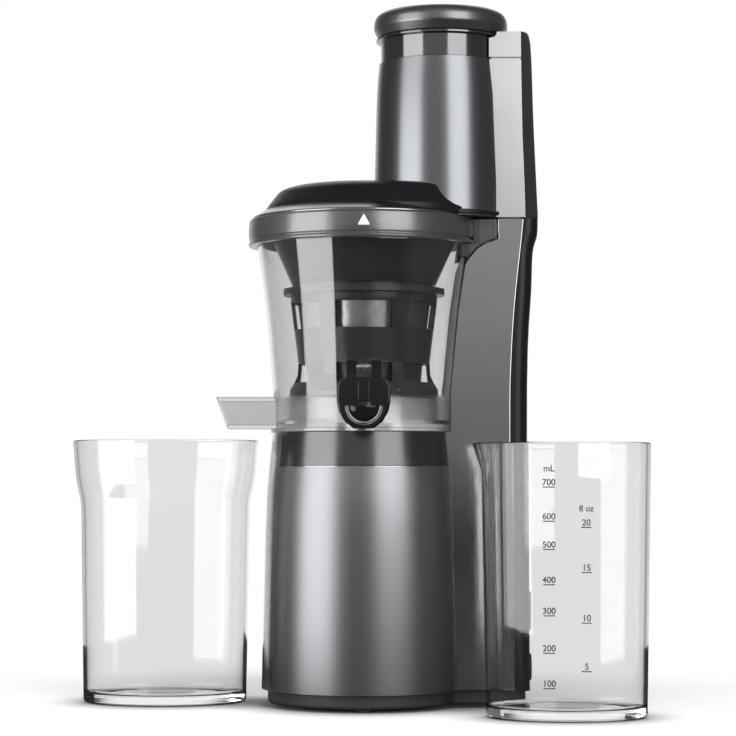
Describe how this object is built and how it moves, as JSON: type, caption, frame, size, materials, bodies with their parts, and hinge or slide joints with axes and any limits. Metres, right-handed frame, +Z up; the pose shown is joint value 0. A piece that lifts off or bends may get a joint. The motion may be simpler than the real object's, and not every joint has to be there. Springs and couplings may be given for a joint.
{
  "type": "cold press juicer",
  "caption": "Upright cold press juicer with a side column, tall feed chute, clear bowl with auger and strainer, capped juice spout, pulp chute, juice jug and pulp container.",
  "frame": {"origin": "on the table plane, where the chamber's vertical axis meets it", "axes": "+Z up along the chamber axis, +X from the chamber towards the column, -Y towards the juice spout"},
  "size_m": [0.3611, 0.1963, 0.4415],
  "materials": {
    "satin_grey": "satin metallic paint",
    "satin_silver": "light satin metallic paint",
    "brushed_graphite": "brushed, tinted dark",
    "gloss_black": "polished",
    "matte_black": "fine matte",
    "rubber": "matte",
    "silicone": "satin silicone",
    "steel": "turned",
    "copper": "lacquered windings",
    "bronze": "sintered",
    "nylon": "natural",
    "board": "laminate",
    "clear": "clear plastic",
    "smoke": "smoky clear plastic",
    "dark_plastic": "satin",
    "mesh_steel": "fine mesh"
  },
  "bodies": {
    "base": {"housing": "satin_grey", "front_wrap": "brushed_graphite", "front_collar": "gloss_black", "back_cover": "gloss_black", "base_tray": "matte_black", "foot_ring": "rubber", "rear_feet": "rubber", "tray_screws": "steel", "motor_can": "steel", "motor_stator": "copper", "motor_bearings": "steel", "gearbox_case": "matte_black", "gearbox_cover": "matte_black", "counter_pin": "steel", "shaft_bushes": "bronze", "deck_seal": "rubber", "control_board": "board", "switch_bezel": "matte_black", "cord_inlet": "matte_black"},
    "rotor": {"rotor": "steel", "motor_pinion": "bronze", "cooling_fan": "matte_black"},
    "counter": {"counter_gear": "nylon"},
    "drive": {"drive_gear": "nylon", "drive_shaft": "steel"},
    "switch": {"rocker": "gloss_black"},
    "bowl": {"bowl": "clear", "bowl_rim": "smoke", "pulp_chute": "clear", "juice_spout": "clear", "bowl_seal": "silicone", "idler_pin": "nylon", "cap_pin": "steel", "strainer_frame": "dark_plastic", "strainer_mesh": "mesh_steel"},
    "idler": {"idler_gear": "nylon"},
    "wiper": {"wiper_frame": "dark_plastic", "wiper_blades": "silicone"},
    "auger": {"auger": "dark_plastic", "auger_gear": "nylon", "auger_insert": "dark_plastic", "auger_pin": "steel"},
    "cap": {"spout_cap": "gloss_black"},
    "lid_ring": {"lid_seal": "silicone"},
    "lid": {"lid_skirt": "satin_silver", "lid_dome": "gloss_black", "feed_tube": "matte_black", "chute_sleeve": "brushed_graphite", "chute_collar": "gloss_black", "tower_panel": "satin_silver", "tower_cover": "gloss_black", "lid_bearing": "nylon"},
    "pusher": {"pusher_cap": "gloss_black", "pusher_tube": "matte_black", "pusher_ring": "silicone"},
    "jug": {"juice_jug": "clear"},
    "tub": {"pulp_container": "clear"}
  },
  "joints": [
    {"name": "rotor_spin", "type": "hinge", "parent": "base", "child": "rotor", "pos_m": [0, 0, 0.05], "axis": [0, 0, 1], "continuous": true},
    {"name": "counter_spin", "type": "hinge", "parent": "base", "child": "counter", "pos_m": [-0.027, 0, 0.1], "axis": [0, 0, 1], "continuous": true},
    {"name": "drive_spin", "type": "hinge", "parent": "base", "child": "drive", "pos_m": [0, 0, 0.115], "axis": [0, 0, 1], "continuous": true},
    {"name": "switch_tilt", "type": "hinge", "parent": "base", "child": "switch", "pos_m": [0.099, 0, 0.06], "axis": [0, -1, 0], "range_deg": [0, 16]},
    {"name": "bowl_lift", "type": "slide", "parent": "base", "child": "bowl", "axis": [0, 0, 1], "range_m": [0, 0.12]},
    {"name": "idler_spin", "type": "hinge", "parent": "bowl", "child": "idler", "pos_m": [0.0275, 0, 0.197], "axis": [0, 0, 1], "continuous": true},
    {"name": "wiper_spin", "type": "hinge", "parent": "bowl", "child": "wiper", "pos_m": [0, 0, 0.23], "axis": [0, 0, 1], "continuous": true},
    {"name": "auger_spin", "type": "hinge", "parent": "bowl", "child": "auger", "pos_m": [0, 0, 0.24], "axis": [0, 0, 1], "continuous": true},
    {"name": "cap_swing", "type": "hinge", "parent": "bowl", "child": "cap", "pos_m": [0, -0.0745, 0.211], "axis": [-1, 0, 0], "range_deg": [0, 100]},
    {"name": "lid_lift", "type": "slide", "parent": "bowl", "child": "lid_ring", "axis": [0, 0, 1], "range_m": [0, 0.13]},
    {"name": "lid_turn", "type": "hinge", "parent": "lid_ring", "child": "lid", "pos_m": [0, 0, 0.308], "axis": [0, 0, 1], "range_deg": [0, 35]},
    {"name": "pusher_slide", "type": "slide", "parent": "lid", "child": "pusher", "axis": [0, 0, 1], "range_m": [0, 0.11]},
    {"name": "jug_lift", "type": "slide", "parent": "base", "child": "jug", "axis": [0, 0, 1], "range_m": [0, 0.12]},
    {"name": "tub_slide", "type": "slide", "parent": "base", "child": "tub", "axis": [-1, 0, 0], "range_m": [0, 0.1]}
  ],
  "couplings": [
    {"joint": "counter_spin", "follows": "rotor_spin", "ratio": -0.25},
    {"joint": "drive_spin", "follows": "rotor_spin", "ratio": 0.076087},
    {"joint": "auger_spin", "follows": "rotor_spin", "ratio": 0.076087},
    {"joint": "idler_spin", "follows": "rotor_spin", "ratio": -0.063406},
    {"joint": "wiper_spin", "follows": "rotor_spin", "ratio": -0.022379}
  ]
}
